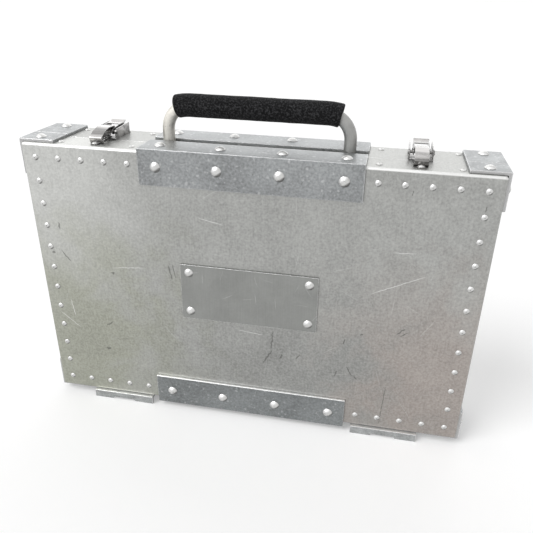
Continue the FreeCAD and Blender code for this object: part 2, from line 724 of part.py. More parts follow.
def handle_fixings():
    """What holds the handle inside the body: a spreader plate, two washers and two nuts."""
    under = top - SHEET
    near = body_rim + SPREADER_RIM_GAP
    spreader = block(-SPREADER_LENGTH / 2, SPREADER_LENGTH / 2, near, near + SPREADER_WIDTH,
                     under - SPREADER_THICKNESS, under)
    washers = []
    nuts = []
    for _, sign in SIDES:
        spreader = spreader.cut(stud_hole(sign))
        seat = stud_place(sign) - Z * SPREADER_THICKNESS
        washer = disc(seat, Z, WASHER_RADIUS, STUD_RADIUS + STUD_CLEARANCE)
        washers.append(washer.extrude(-Z * WASHER_THICKNESS))
        seat = seat - Z * WASHER_THICKNESS
        bore = rod(seat + Z, seat - Z * (NUT_THICKNESS + 1), STUD_RADIUS + NUT_FIT)
        nuts.append(hexagon(seat).cut(bore))
    save("handle_spreader", spreader)
    save("handle_washers", *washers)
    save("handle_nuts", *nuts)


def hexagon(spot):
    """A six-sided block under spot, with two flats facing front and back."""
    radius = NUT_ACROSS_FLATS / 2 / math.cos(math.pi / 6)
    turns = [math.pi / 3 * i for i in range(6)]
    corners = [spot + vec(math.cos(turn), math.sin(turn), 0) * radius for turn in turns]
    return Part.Face(outline(corners)).extrude(-Z * NUT_THICKNESS)


lid = Half("lid", "front", front, lid_rim, LID_DEPTH + ANGLE_THICKNESS, CORNER_SETBACK_FRONT)
body = Half("body", "back", back, body_rim, ANGLE_LEG, CORNER_SETBACK_BACK)
for place in (-KEEPER_BACK_RIVET, catch - TONGUE_RIVET):
    lid.small += latch_rivets(lid, place, KEEPER_METAL)
for place in BASE_RIVETS:
    body.small += latch_rivets(body, place, BASE_METAL)
lid.plate = nameplate_rivets()

save("lid_tray", lid.finish(lid.tray()))
save("body_tray", body.finish(body.tray()).cut([stud_hole(sign) for _, sign in SIDES]))
for half in (lid, body):
    half.inner_angles()
    half.long_angles()
    half.corner_angles()
    half.feet()
    half.hinge_leaves()
    save(f"{half.name}_small_rivets", *[rivet.solid() for rivet in half.small])
    save(f"{half.name}_large_rivets", *[rivet.solid() for rivet in half.large])

save("nameplate", lid.finish(nameplate()))
save("nameplate_rivets", *[rivet.solid() for rivet in lid.plate])

for name, sign in SIDES:
    x = sign * LATCH_X
    save(f"latch_base_{name}", body.finish(latch_base(x)))
    save(f"latch_keeper_{name}", lid.finish(latch_keeper(x)))
    save(f"latch_lever_{name}", latch_lever(x))
    save(f"latch_claw_{name}", latch_claw(x))
    save(f"latch_pivot_pin_{name}", headed_pin(x, LEVER_PIVOT, BASE_WIDTH / 2, PIVOT_PIN_RADIUS))
    save(f"latch_claw_pin_{name}", headed_pin(x, claw_pin, LEVER_WIDTH / 2, CLAW_PIN_RADIUS))
    save(f"hinge_pin_{name}", hinge_pin(sign * FOOT_X))

save("handle_rod", handle_rod())
save("handle_grip", handle_grip())
handle_fixings()

print("case", case_width, case_depth, case_height)
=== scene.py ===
import json
import math

import bmesh
import bpy
from bpy.props import FloatProperty, FloatVectorProperty, IntProperty, PointerProperty
from mathutils import Matrix, Vector, noise

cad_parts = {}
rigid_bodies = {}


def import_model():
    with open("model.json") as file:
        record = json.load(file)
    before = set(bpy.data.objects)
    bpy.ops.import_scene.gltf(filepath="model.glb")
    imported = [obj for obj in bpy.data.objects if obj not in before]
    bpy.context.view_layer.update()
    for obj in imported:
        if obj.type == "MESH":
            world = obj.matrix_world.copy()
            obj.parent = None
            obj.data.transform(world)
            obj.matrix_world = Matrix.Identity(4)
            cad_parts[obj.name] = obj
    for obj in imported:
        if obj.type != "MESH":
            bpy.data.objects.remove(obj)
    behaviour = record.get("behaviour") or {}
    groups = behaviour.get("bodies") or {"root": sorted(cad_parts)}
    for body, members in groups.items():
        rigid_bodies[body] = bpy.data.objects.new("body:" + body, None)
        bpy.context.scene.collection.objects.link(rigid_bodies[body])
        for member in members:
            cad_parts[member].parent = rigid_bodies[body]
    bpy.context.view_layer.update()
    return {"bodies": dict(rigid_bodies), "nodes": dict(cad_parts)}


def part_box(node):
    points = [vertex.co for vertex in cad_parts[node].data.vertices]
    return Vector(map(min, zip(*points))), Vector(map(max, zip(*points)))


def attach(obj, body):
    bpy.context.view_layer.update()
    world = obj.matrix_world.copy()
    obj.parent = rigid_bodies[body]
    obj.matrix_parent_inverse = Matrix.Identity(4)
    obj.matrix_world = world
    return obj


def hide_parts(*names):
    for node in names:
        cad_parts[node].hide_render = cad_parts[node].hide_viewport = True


bl_info = {
    "name": "Sample Case",
    "version": (1, 0, 0),
    "blender": (4, 5, 0),
    "location": "3D View > Sidebar > Sample Case",
    "description": "Finishes a riveted aluminium sample case and sets it on a studio floor",
    "category": "Object",
}

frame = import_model()

MM = 0.001

# The camera that fits the photograph: where it stands, which way the picture's right and top lie, how far the
# picture is shifted, and the lens and sensor in millimetres
CAMERA_PLACE = (0.13188, -0.57930, 0.46950)
PICTURE_RIGHT = (0.98174, 0.18910, 0.02062)
PICTURE_TOP = (-0.10419, 0.44388, 0.89001)
PICTURE_SHIFT = (-0.0247, 0.0268)
LENS_MM = 38.961
SENSOR_MM = 36.0

# Where the two lamps shine from, and how wide each looks
KEY_SIDE = (-0.52, -0.50, 0.78)
KEY_SPREAD = math.radians(34)
BACK_SIDE = (-0.25, 0.85, 0.45)
BACK_SPREAD = math.radians(80)

# How far the lid's rivets and angles reach past the corner of its top angle, outwards and upwards
LID_REACH_OUT = 6.0 * MM
LID_REACH_UP = 4.0 * MM

# How finely the foam sleeve is divided, and the pattern of its uneven skin, in bumps to the metre
STRAIGHT_STEPS = 40
BEND_STEPS = 8
END_SEGMENTS = 4
BROAD_BUMPS = 55.0
FINE_BUMPS = 160.0
SAME_POINT = 0.001 * MM


def colour(name, description, default):
    return FloatVectorProperty(
        name=name, description=description, subtype="COLOR", size=3, min=0.0, max=1.0, default=default
    )


def length(name, description, default):
    return FloatProperty(
        name=name, description=description, subtype="DISTANCE", unit="LENGTH", min=0.0, default=default
    )


def share(name, description, default):
    return FloatProperty(
        name=name, description=description, subtype="FACTOR", min=0.0, max=1.0, default=default
    )


def power(name, description, default):
    return FloatProperty(name=name, description=description, min=0.0, default=default)


class CaseFinishes(bpy.types.PropertyGroup):
    """Colours and wear of the case's metals and foam."""

    sheet: colour("Sheet", "The folded sheets of the lid and the body", (0.385, 0.388, 0.376))
    sheet_cool: colour("Cool stain", "The greenish cast on the left of the panel", (0.375, 0.382, 0.33))
    sheet_warm: colour("Warm stain", "The pinkish cast on the right of the panel", (0.392, 0.358, 0.335))
    angle: colour("Angle", "The extruded angles", (0.30, 0.31, 0.314))
    # The bottom angles' darker colour is painted shade
    low_angle: colour("Bottom angles", "The long angles along the bottom", (0.235, 0.247, 0.25))
    foot: colour("Foot", "The feet under the case", (0.37, 0.38, 0.38))
    plate: colour("Plate", "The plate in the middle of the panel", (0.29, 0.295, 0.285))
    rivet: colour("Rivet", "The heads of the rivets", (0.62, 0.62, 0.61))
    bar: colour("Handle bar", "The bent round bar", (0.36, 0.36, 0.35))
    # The left upright's paler colour is a painted highlight
    bar_painted_light: colour("Handle bar, left", "The paler left upright of the bar", (0.70, 0.68, 0.63))
    chrome: colour("Latch plating", "The plated parts of the latches", (0.31, 0.303, 0.298))
    zinc: colour("Hinge plating", "The hinges, nuts and washers", (0.55, 0.55, 0.53))
    foam: colour("Foam", "The sleeve on the handle", (0.002, 0.002, 0.0025))
    foam_rims: colour("Foam, rims", "The paler rims of the foam's pores", (0.055, 0.055, 0.058))
    # The colour of dirt and of painted shade: scuffs, shut-in corners and the shaded side of rivet heads are
    # mixed towards it
    grime: colour("Grime", "What collects in corners and round the rivets", (0.10, 0.10, 0.095))
    wear: share("Wear", "How far bright metal shows along the edges", 0.8)


class GripSizes(bpy.types.PropertyGroup):
    """Sizes of the foam sleeve on the handle."""

    diameter: length("Diameter", "Across the sleeve", 23.8 * MM)
    bore: length("Bore", "Across the hole, a little wider than the bar", 12.9 * MM)
    span: length("Handle span", "Between the middles of the handle's two uprights", 190.5 * MM)
    bend: length("Bend radius", "Of the handle bar's middle line", 25.4 * MM)
    sleeve: length("Sleeve length", "Between the middles of the sleeve's ends", 170.0 * MM)
    droop: length("Droop radius", "Of the sleeve's middle line over the bends", 62.0 * MM)
    end_round: length("End rounding", "Of the sleeve's outer ends", 1.6 * MM)
    unevenness: length("Unevenness", "How far the soft skin strays from a true round", 0.24 * MM)
    facets: IntProperty(name="Facets", description="Sides of the sleeve's cross section", min=12, default=48)


class StageSettings(bpy.types.PropertyGroup):
    """The floor, the lights and the camera."""

    floor: colour("Floor", "The plain floor under the case", (0.80, 0.80, 0.80))
    floor_size: length("Floor size", "Across the floor", 60.0)
    sky: power("Sky", "Strength of the even light from all round", 0.42)
    key: power("Key light", "Strength of the soft light from the upper left", 1.6)
    back: power("Back light", "Strength of the wide light from behind", 0.95)
    lift: power("Floor lift", "What the camera sees the floor glow by", 0.29)


class SampleCase(bpy.types.PropertyGroup):
    """Everything that can be set on the sample case."""

    finishes: PointerProperty(type=CaseFinishes)
    grip: PointerProperty(type=GripSizes)
    stage: PointerProperty(type=StageSettings)


class Wiring:
    """Adds nodes to one node tree and sets or links their sockets."""

    def __init__(self, tree):
        self.tree = tree

    def add(self, kind, sockets=None, **settings):
        node = self.tree.nodes.new(kind)
        for name, value in settings.items():
            setattr(node, name, value)
        for key, value in (sockets or {}).items():
            self.plug(node.inputs[key], value)
        return node

    def plug(self, socket, value):
        if isinstance(value, bpy.types.NodeSocket):
            self.tree.links.new(value, socket)
        elif value is not None:
            socket.default_value = value

    def use(self, name, **sockets):
        """A node that holds one of the groups. Socket names are given in lower case."""
        node = self.add("ShaderNodeGroup", node_tree=bpy.data.node_groups[name])
        for socket in node.inputs:
            key = socket.name.lower().replace(" ", "_")
            if key in sockets:
                self.plug(socket, sockets.pop(key))
        if sockets:
            raise KeyError(f"{name} has no inputs {sorted(sockets)}")
        return node

    def math(self, operation, *values, clamp=False):
        node = self.add("ShaderNodeMath", operation=operation, use_clamp=clamp)
        for socket, value in zip(node.inputs, values):
            self.plug(socket, value)
        return node.outputs[0]

    def vector(self, operation, *values, out=0):
        node = self.add("ShaderNodeVectorMath", operation=operation)
        for socket, value in zip(node.inputs, values):
            self.plug(socket, value)
        return node.outputs[out]

    def scaled(self, vector, scale):
        node = self.add("ShaderNodeVectorMath", {"Vector": vector, "Scale": scale}, operation="SCALE")
        return node.outputs[0]

    def fit(self, value, low, high, bottom=0.0, top=1.0, smooth=False):
        """Value stretched from low..high to bottom..top, and held there."""
        kind = "SMOOTHSTEP" if smooth else "LINEAR"
        sockets = {"Value": value, "From Min": low, "From Max": high, "To Min": bottom, "To Max": top}
        return self.add("ShaderNodeMapRange", sockets, interpolation_type=kind).outputs[0]

    def mix(self, amount, first, second):
        node = self.add("ShaderNodeMix", data_type="RGBA")
        self.plug(node.inputs[0], amount)
        self.plug(node.inputs[6], first)
        self.plug(node.inputs[7], second)
        return node.outputs[2]

    def noise(self, vector, scale, detail=2.0, roughness=0.5, distortion=0.0):
        sockets = {
            "Vector": vector, "Scale": scale, "Detail": detail,
            "Roughness": roughness, "Distortion": distortion,
        }
        return self.add("ShaderNodeTexNoise", sockets).outputs["Fac"]

    def strayed(self, vector, place, scale, detail, reach):
        """Vector moved about by noise at place, by up to half of reach each way."""
        stray = self.add("ShaderNodeTexNoise", {"Vector": place, "Scale": scale, "Detail": detail})
        stray = self.scaled(self.vector("SUBTRACT", stray.outputs["Color"], (0.5, 0.5, 0.5)), reach)
        return self.vector("ADD", vector, stray)

    def turned(self, vector, angle):
        """Vector turned about its third axis."""
        sockets = {"Vector": vector, "Angle": angle}
        return self.add("ShaderNodeVectorRotate", sockets, rotation_type="Z_AXIS").outputs[0]

    def split(self, vector):
        """The parts of a vector, by their letters."""
        return self.add("ShaderNodeSeparateXYZ", {0: vector}).outputs

    def coordinates(self, kind="Object"):
        return self.add("ShaderNodeTexCoord").outputs[kind]


def new_group(name, inputs, outputs):
    """An empty node group. Returns its wiring, its input node and its output node."""
    tree = bpy.data.node_groups.new(name, "ShaderNodeTree")
    for label, kind, default in inputs:
        socket = tree.interface.new_socket(name=label, in_out="INPUT", socket_type=kind)
        socket.default_value = default
    for label, kind in outputs:
        tree.interface.new_socket(name=label, in_out="OUTPUT", socket_type=kind)
    web = Wiring(tree)
    return web, web.add("NodeGroupInput").outputs, web.add("NodeGroupOutput").inputs


FLOAT = "NodeSocketFloat"
VECTOR = "NodeSocketVector"
NOWHERE = (0.0, 0.0, 0.0)


def build_face_plane():
    """Lays the object's coordinates flat on the side that a face looks to, so grain runs over the folds."""
    web, _, result = new_group("Face plane", [], [("Vector", VECTOR)])
    place = web.split(web.coordinates())
    facing = web.split(web.vector("ABSOLUTE", web.coordinates("Normal")))
    flat_top = web.math("GREATER_THAN", facing["Z"], 0.7)
    flat_end = web.math("GREATER_THAN", facing["X"], 0.7)

    def choose(switch, first, second):
        node = web.add("ShaderNodeMix", data_type="FLOAT")
        web.plug(node.inputs[0], switch)
        web.plug(node.inputs[2], first)
        web.plug(node.inputs[3], second)
        return node.outputs[0]

    across = choose(flat_end, place["X"], place["Y"])
    along = choose(flat_top, place["Z"], place["Y"])
    depth = choose(flat_end, choose(flat_top, place["Y"], place["Z"]), place["X"])
    node = web.add("ShaderNodeCombineXYZ", {"X": across, "Y": along, "Z": depth})
    web.plug(result["Vector"], node.outputs[0])


def build_clouding():
    """Cloudy patches of a mill finish: broad ones and a fine mottle over them."""
    inputs = [("Vector", VECTOR, NOWHERE), ("Patch", FLOAT, 0.06), ("Mottle", FLOAT, 0.004)]
    web, given, result = new_group("Mill clouding", inputs, [("Broad", FLOAT), ("Fine", FLOAT)])
    broad = web.noise(given["Vector"], web.math("DIVIDE", 1.0, given["Patch"]), 5.0, 0.58, 0.4)
    fine = web.noise(given["Vector"], web.math("DIVIDE", 1.0, given["Mottle"]), 3.0, 0.6)
    web.plug(result["Broad"], web.fit(broad, 0.3, 0.7, -1.0, 1.0, smooth=True))
    web.plug(result["Fine"], web.fit(fine, 0.25, 0.75, -1.0, 1.0))


def build_grain():
    """Fine lines of rolling or drawing, along the second coordinate."""
    inputs = [("Vector", VECTOR, NOWHERE), ("Across", FLOAT, 900.0), ("Along", FLOAT, 40.0)]
    web, given, result = new_group("Drawn grain", inputs, [("Height", FLOAT)])
    scale = web.add("ShaderNodeCombineXYZ", {"X": given["Across"], "Y": given["Along"], "Z": 1.0}).outputs[0]
    coarse = web.noise(web.vector("MULTIPLY", given["Vector"], scale), 1.0, 2.0, 0.6)
    web.plug(result["Height"], web.fit(coarse, 0.2, 0.8, -1.0, 1.0))


def build_scratches():
    """Short straight scratches, at most one in each cell, turned about a main direction."""
    inputs = [
        ("Vector", VECTOR, NOWHERE), ("Cell", FLOAT, 0.03), ("Length", FLOAT, 0.35),
        ("Width", FLOAT, 0.01), ("Turn", FLOAT, 0.0), ("Spread", FLOAT, 3.1), ("Amount", FLOAT, 0.4),
    ]
    web, given, result = new_group("Scratches", inputs, [("Mask", FLOAT)])
    place = web.scaled(given["Vector"], web.math("DIVIDE", 1.0, given["Cell"]))
    place = web.strayed(place, place, 0.8, 1.0, 0.25)
    cells = web.add("ShaderNodeTexVoronoi", {"Vector": place, "Scale": 1.0}, voronoi_dimensions="2D").outputs
    chance = web.add("ShaderNodeSeparateColor", {0: cells["Color"]}).outputs
    turn = web.math("MULTIPLY_ADD", web.math("SUBTRACT", chance["Red"], 0.5), given["Spread"], given["Turn"])
    local = web.turned(web.vector("SUBTRACT", place, cells["Position"]), turn)
    local = web.split(web.vector("ABSOLUTE", local))
    thin = web.fit(local["X"], given["Width"], 0.0)
    short = web.fit(local["Y"], given["Length"], web.math("MULTIPLY", given["Length"], 0.3), smooth=True)
    there = web.math("LESS_THAN", chance["Green"], given["Amount"])
    plain = web.math("MULTIPLY", there, web.fit(chance["Blue"], 0.0, 1.0, 0.35, 1.0))
    web.plug(result["Mask"], web.math("MULTIPLY", web.math("MULTIPLY", thin, short), plain))


def build_mark():
    """One scuff at a chosen place: a soft dash with ragged edges."""
    inputs = [
        ("Vector", VECTOR, NOWHERE), ("Place", VECTOR, NOWHERE), ("Turn", FLOAT, 0.0),
        ("Length", FLOAT, 0.01), ("Width", FLOAT, 0.001),
    ]
    web, given, result = new_group("Scuff", inputs, [("Mask", FLOAT)])
    fray = web.math("MULTIPLY", given["Width"], 2.2)
    local = web.strayed(given["Vector"], given["Vector"], 260.0, 3.0, fray)
    local = web.vector("SUBTRACT", local, given["Place"])
    local = web.turned(local, web.math("MULTIPLY", given["Turn"], -1.0))
    local = web.split(web.vector("ABSOLUTE", local))
    along = web.math("DIVIDE", local["X"], web.math("MULTIPLY", given["Length"], 0.5))
    across = web.math("DIVIDE", local["Y"], web.math("MULTIPLY", given["Width"], 0.5))
    reach = web.math("ADD", web.math("POWER", along, 4.0), web.math("POWER", across, 2.0))
    web.plug(result["Mask"], web.fit(reach, 1.4, 0.2, smooth=True))


def build_speckle():
    """Small bright or dark flecks of uneven size."""
    inputs = [
        ("Vector", VECTOR, NOWHERE), ("Spacing", FLOAT, 0.002), ("Size", FLOAT, 0.3), ("Amount", FLOAT, 0.5),
    ]
    web, given, result = new_group("Speckle", inputs, [("Mask", FLOAT)])
    scale = web.math("DIVIDE", 1.0, given["Spacing"])
    place = web.strayed(given["Vector"], given["Vector"], scale, 2.0, given["Spacing"])
    cells = web.add("ShaderNodeTexVoronoi", {"Vector": place, "Scale": scale}).outputs
    chance = web.add("ShaderNodeSeparateColor", {0: cells["Color"]}).outputs
    size = web.math("MULTIPLY", given["Size"], web.fit(chance["Red"], 0.0, 1.0, 0.4, 1.0))
    fleck = web.fit(cells["Distance"], size, web.math("MULTIPLY", size, 0.4))
    there = web.math("LESS_THAN", chance["Green"], given["Amount"])
    web.plug(result["Mask"], web.math("MULTIPLY", fleck, there))


def build_edge_wear():
    """Where edges are rubbed bright, and the normal of the rounded edge."""
    inputs = [("Vector", VECTOR, NOWHERE), ("Radius", FLOAT, 0.0006), ("Amount", FLOAT, 0.8)]
    web, given, result = new_group("Edge wear", inputs, [("Mask", FLOAT), ("Normal", VECTOR)])
    rounded = web.add("ShaderNodeBevel", {"Radius": given["Radius"]}, samples=6).outputs[0]
    flat = web.add("ShaderNodeNewGeometry").outputs["Normal"]
    turned = web.math("SUBTRACT", 1.0, web.vector("DOT_PRODUCT", rounded, flat, out=1))
    broken = web.noise(given["Vector"], 130.0, 4.0, 0.65)
    edge = web.fit(turned, 0.01, 0.12)
    edge = web.math("MULTIPLY", edge, web.fit(broken, 0.25, 0.5))
    web.plug(result["Mask"], web.math("MULTIPLY", edge, given["Amount"], clamp=True))
    web.plug(result["Normal"], rounded)


def build_grime_and_shade():
    """Darkening where nearby surfaces shut a surface in: dirt and painted shade in corners, round rivets and
    along lapped edges.
    """
    inputs = [("Vector", VECTOR, NOWHERE), ("Reach", FLOAT, 0.003)]
    web, given, result = new_group("Grime", inputs, [("Mask", FLOAT)])
    open_air = web.add("ShaderNodeAmbientOcclusion", {"Distance": given["Reach"]}, samples=6).outputs["AO"]
    # Darker where the surface is shut in: painted shade, with dirt there too
    shut_in = web.fit(open_air, 0.85, 0.3)
    patchy = web.noise(given["Vector"], 160.0, 3.0, 0.6)
    web.plug(result["Mask"], web.math("MULTIPLY", shut_in, web.fit(patchy, 0.3, 0.65, 0.45, 1.0)))


def build_fold_highlight():
    """Where a folded sheet turns over an edge that looks up: a painted highlight along the bend."""
    web, _, result = new_group("Fold highlight", [], [("Mask", FLOAT)])
    normal = web.coordinates("Normal")
    up = web.split(normal)["Z"]
    sides = web.split(web.vector("ABSOLUTE", normal))
    flat = web.math("MAXIMUM", web.math("MAXIMUM", sides["X"], sides["Y"]), sides["Z"])
    web.plug(result["Mask"], web.math("MULTIPLY", web.fit(flat, 0.995, 0.93), web.fit(up, 0.1, 0.3)))


def build_head_light_and_shade():
    """Painted shade on the lower right and a painted highlight on the upper left of rivet heads on the two
    panels.
    """
    web, _, result = new_group("Head light and shade", [], [("Sheltered", FLOAT), ("Rubbed", FLOAT)])
    normal = web.coordinates("Normal")
    level = web.math("ABSOLUTE", web.split(normal)["Y"])
    on_panel = web.math("GREATER_THAN", level, 0.6)
    lean = web.vector("DOT_PRODUCT", normal, (0.55, 0.0, -0.83), out=1)
    web.plug(result["Sheltered"], web.math("MULTIPLY", web.fit(lean, 0.22, 0.55, smooth=True), on_panel))
    web.plug(result["Rubbed"], web.math("MULTIPLY", web.fit(lean, -0.12, -0.42, smooth=True), on_panel))


GROUPS = (
    build_face_plane, build_clouding, build_grain, build_scratches, build_mark,
    build_speckle, build_edge_wear, build_grime_and_shade, build_fold_highlight, build_head_light_and_shade,
)


def new_material(name):
    """A material with its wiring and its shader."""
    material = bpy.data.materials.new(name)
    material.use_nodes = True
    return material, Wiring(material.node_tree), material.node_tree.nodes["Principled BSDF"]


def new_metal(name):
    """The same, for a bare metal."""
    material, web, shader = new_material(name)
    shader.inputs["Metallic"].default_value = 1.0
    return material, web, shader


def rgba(value):
    return (*value, 1.0)


def grey(value):
    return (value, value, value, 1.0)


def varied(web, base, change):
    """A colour made lighter and darker by a mask that runs from about -1 to 1."""
    return web.scaled(base, web.math("ADD", change, 1.0))


def total(web, *terms):
    """The sum of masks, each given with its weight."""
    result = 0.0
    for mask, weight in terms:
        result = web.math("MULTIPLY_ADD", mask, weight, result)
    return result


def about(web, level, *terms):
    """A level that masks raise and lower by their weights, held between 0 and 1."""
    return web.math("ADD", total(web, *terms), level, clamp=True)


def darkened(web, base, finishes, mask, weight):
    """A colour mixed towards the grime colour where the mask is: dirt for the scuffs, painted shade on rivet
    heads, and both where surfaces are shut in.
    """
    return web.mix(web.math("MULTIPLY", mask, weight), base, rgba(finishes.grime))


def surface(web, shader, base, rough, height, depth, normal=None):
    """Gives the shader its colour, its roughness and a relief that is depth high where the height is 1."""
    sockets = {"Height": height, "Distance": depth, "Strength": 1.0, "Normal": normal}
    web.plug(shader.inputs["Base Color"], base)
    web.plug(shader.inputs["Roughness"], rough)
    web.plug(shader.inputs["Normal"], web.add("ShaderNodeBump", sockets).outputs[0])


# Scuffs on the panel in millimetres and degrees: from the middle, above the floor, turn, length and width
DARK_SCUFFS = (
    (-214.1, 228.7, -95, 8, 1.6), (-211.7, 193.2, -51, 17, 1.4), (-88.7, 186.3, -78, 20, 1.5),
    (-84.1, 187.5, -80, 17, 1.3), (-168.7, 109.3, 33, 11, 1.6), (-153.9, 89.7, 8, 21, 0.7),
    (-156.9, 177.4, 10, 4, 3.0), (-174.3, 73.8, 30, 5, 3.4), (27.0, 114.0, 87, 24, 1.7),
    (22.0, 91.0, 62, 22, 1.9), (37.8, 92.9, 70, 6, 2.6), (56.6, 95.8, 60, 8, 1.9),
    (116.0, 84.5, -55, 15, 1.9), (100.8, 79.4, 75, 8, 1.7), (122.8, 77.5, -60, 6, 1.7),
    (107.5, 123.2, 80, 7, 1.2), (125.5, 134.8, 30, 4, 2.2), (166.6, 144.3, 49, 11, 1.7),
    (170.1, 141.1, 39, 10, 1.3), (156.5, 43.8, 87, 60, 0.9), (-226.5, 196.0, 0, 3.5, 2.2),
    (228.5, 287.5, 80, 6, 1.2), (160.0, 297.5, 88, 5, 1.0),
)
LIGHT_SCUFFS = (
    (-136.9, 185.9, 6, 37, 0.8), (-212.9, 126.1, -82, 23, 0.9), (-218.7, 108.8, -40, 31, 0.8),
    (160.0, 235.0, 3, 24, 0.7), (157.6, 198.8, 26, 61, 0.8), (1.9, 120.6, -5, 30, 0.7),
    (-40.0, 250.0, -12, 28, 0.6),
)


def scuffs(web, plane, places):
    """All the scuffs of one kind in one mask."""
    mask = 0.0
    for x, z, turn, long, wide in places:
        spot = web.use(
            "Scuff", vector=plane, place=(x * MM, z * MM, 0.0), turn=math.radians(turn),
            length=long * MM, width=wide * MM,
        )
        mask = web.math("MAXIMUM", spot.outputs[0], mask)
    return mask


def stained(web, finishes, drift, outside):
    """The panel's colour: greenish at the lower left and pinkish at the lower right of its outer face."""
    place = web.split(web.coordinates())
    height = web.math("MULTIPLY_ADD", drift, 0.035, place["Z"])
    low = web.math("MULTIPLY", web.fit(height, 0.27, 0.10, smooth=True), outside)
    across = web.math("MULTIPLY_ADD", drift, 0.05, place["X"])
    cool = web.math("MULTIPLY", web.fit(across, -0.02, -0.2, smooth=True), low)
    warm = web.math("MULTIPLY", web.fit(across, 0.06, 0.21, smooth=True), low)
    base = web.mix(cool, rgba(finishes.sheet), rgba(finishes.sheet_cool))
    return web.mix(warm, base, rgba(finishes.sheet_warm))


def near(web, spot, reach):
    """1 at a spot of the object, falling to 0 at its reach."""
    away = web.vector("DISTANCE", web.coordinates(), spot, out=1)
    return web.fit(away, reach, 0.0, smooth=True)


def sheet_material(name, finishes, panel):
    """Rolled aluminium sheet: cloudy, finely grained and scuffed, with dirt and painted shade where it is
    shut in and a painted highlight along its upward folds. Only the panel has scuffs, stains, a painted pool
    of light at its upper left and painted shade low in its middle.
    """
    material, web, shader = new_metal(name)
    plane = web.use("Face plane").outputs[0]
    clouds = web.use("Mill clouding", vector=plane, patch=0.055, mottle=0.0024).outputs
    grain = web.use("Drawn grain", vector=plane, across=620.0, along=60.0).outputs[0]
    nicks = web.use("Scratches", vector=plane, cell=0.034, length=0.42, width=0.011, amount=0.5).outputs[0]
    rubs = web.use("Scratches", vector=plane, cell=0.013, length=0.4, width=0.02, amount=0.3).outputs[0]
    edge = web.use("Edge wear", vector=plane, radius=0.0007, amount=finishes.wear).outputs
    dirt_and_shade = web.use("Grime", vector=plane, reach=0.0016).outputs[0]
    fold_highlight = web.use("Fold highlight").outputs[0]

    base = finishes.sheet
    shades = [(clouds["Broad"], 0.07), (clouds["Fine"], 0.2), (grain, 0.08)]
    bright = [(nicks, 0.32), (rubs, 0.2)]
    if panel:
        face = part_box("lid_tray")[0].y
        outside = web.fit(web.split(web.coordinates())["Y"], face + 1.4 * MM, face + 0.7 * MM)
        base = stained(web, finishes, clouds["Broad"], outside)
        # A painted pool of light at the panel's upper left and painted shade low in its middle
        painted_light_corner = near(web, (-0.235, face, 0.285), 0.18)
        painted_shade_middle = near(web, (0.05, face, 0.07), 0.21)
        shades += [(painted_light_corner, 0.46), (painted_shade_middle, -0.13)]
        bright.append((web.math("MULTIPLY", scuffs(web, plane, LIGHT_SCUFFS), outside), 0.6))
    base = varied(web, base, total(web, *shades))
    base = web.mix(total(web, *bright), base, (0.86, 0.86, 0.85, 1.0))
    if panel:
        smudges = web.math("MULTIPLY", scuffs(web, plane, DARK_SCUFFS), outside)
        base = darkened(web, base, finishes, smudges, 0.62)
    # Dirt and painted shade where the sheet is shut in
    base = darkened(web, base, finishes, dirt_and_shade, 0.6)
    base = web.mix(edge["Mask"], base, grey(0.93))
    # Painted highlight along the upward folds
    base = web.mix(fold_highlight, base, (0.72, 0.72, 0.71, 1.0))

    rough = [(clouds["Broad"], 0.05), (clouds["Fine"], 0.04), (edge["Mask"], -0.12), (dirt_and_shade, 0.2)]
    rough = about(web, 0.43, *rough)
    height = total(web, (grain, 0.35), (clouds["Fine"], 0.5), (nicks, -1.2), (rubs, -0.8))
    surface(web, shader, base, rough, height, 0.06 * MM, edge["Normal"])
    return material


def angle_material(name, finishes, base_colour, patch, mottle, painted_lit_side=None, painted_lit_grey=0.93):
    """Extruded aluminium: grey, with a pale mottle, dents, bright corners, dirt and painted shade where it is
    shut in and, if wanted, a painted highlight on the faces that look one way.
    """
    material, web, shader = new_metal(name)
    plane = web.use("Face plane").outputs[0]
    aside = web.vector("ADD", plane, (0.31, 0.17, 0.0))
    clouds = web.use("Mill clouding", vector=plane, patch=patch, mottle=mottle).outputs
    flecks = web.use("Speckle", vector=plane, spacing=0.0042, size=0.5, amount=0.3).outputs[0]
    pits = web.use("Speckle", vector=aside, spacing=0.006, size=0.24, amount=0.3).outputs[0]
    nicks = web.use("Scratches", vector=plane, cell=0.016, length=0.4, width=0.02, amount=0.35).outputs[0]
    edge = web.use("Edge wear", vector=plane, radius=0.0013, amount=finishes.wear).outputs
    dirt_and_shade = web.use("Grime", vector=plane, reach=0.0012).outputs[0]

    base = varied(web, base_colour, total(web, (clouds["Broad"], 0.14), (clouds["Fine"], 0.30)))
    base = web.mix(total(web, (flecks, 0.26), (nicks, 0.4)), base, (0.80, 0.80, 0.81, 1.0))
    # Pits, and dirt and painted shade where the angle is shut in
    base = web.mix(total(web, (pits, 0.5), (dirt_and_shade, 0.6)), base, rgba(finishes.grime))
    # A painted highlight on the faces that look the given way
    if painted_lit_side:
        facing = web.vector("DOT_PRODUCT", web.coordinates("Normal"), painted_lit_side, out=1)
        base = web.mix(web.fit(facing, 0.2, 0.6), base, grey(painted_lit_grey))
    base = web.mix(edge["Mask"], base, grey(0.93))

    rough = about(web, 0.44, (clouds["Fine"], 0.06), (edge["Mask"], -0.12), (dirt_and_shade, 0.2), (flecks, -0.06))
    height = total(web, (clouds["Fine"], 0.7), (pits, -1.0), (nicks, -1.0))
    surface(web, shader, base, rough, height, 0.08 * MM, edge["Normal"])
    return material


